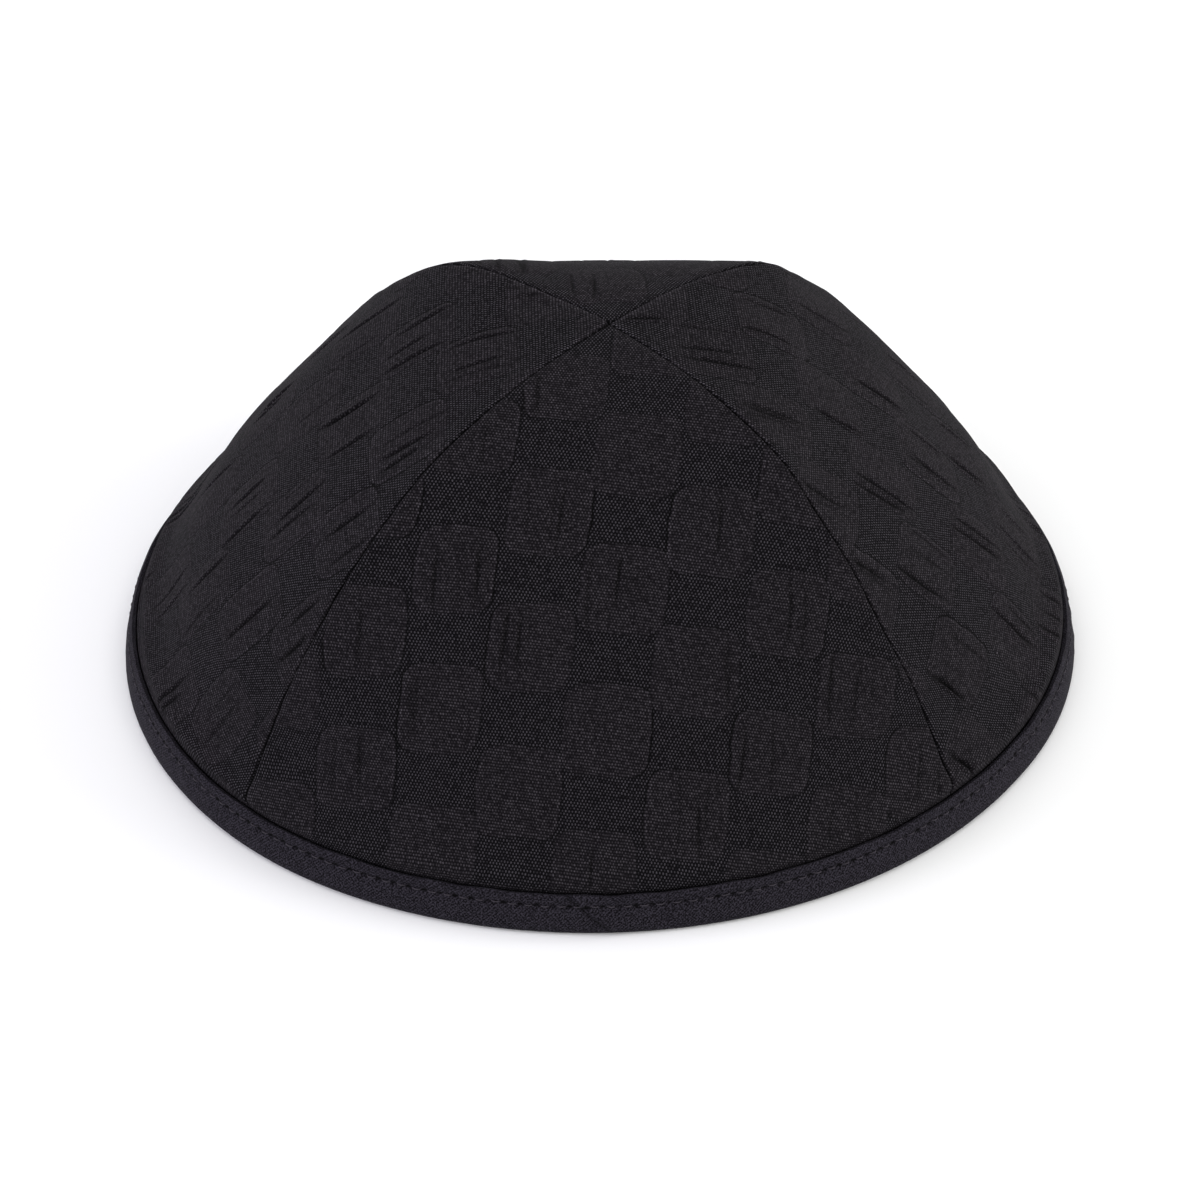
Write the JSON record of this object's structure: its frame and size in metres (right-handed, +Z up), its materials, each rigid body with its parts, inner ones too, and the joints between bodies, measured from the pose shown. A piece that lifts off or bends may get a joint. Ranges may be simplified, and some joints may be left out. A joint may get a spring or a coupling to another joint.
{
  "type": "kippah",
  "caption": "Brimless domed skullcap of seamed cloth panels with a squared, nearly flat top and a folded tape bound round its rim, open below for the head.",
  "frame": {"origin": "centre of the rim, on the surface that the rim rests on", "axes": "+Z up through the crown, -Y towards the front panel that faces the viewer, +X to the viewer's right"},
  "size_m": [0.165, 0.165, 0.0621],
  "materials": {
    "crown_cloth": "matt black puckered cotton",
    "binding_cloth": "matt black bias tape"
  },
  "bodies": {
    "root": {"panel_front": "crown_cloth", "panel_right": "crown_cloth", "panel_back": "crown_cloth", "panel_left": "crown_cloth", "rim_binding": "binding_cloth"}
  },
  "joints": []
}
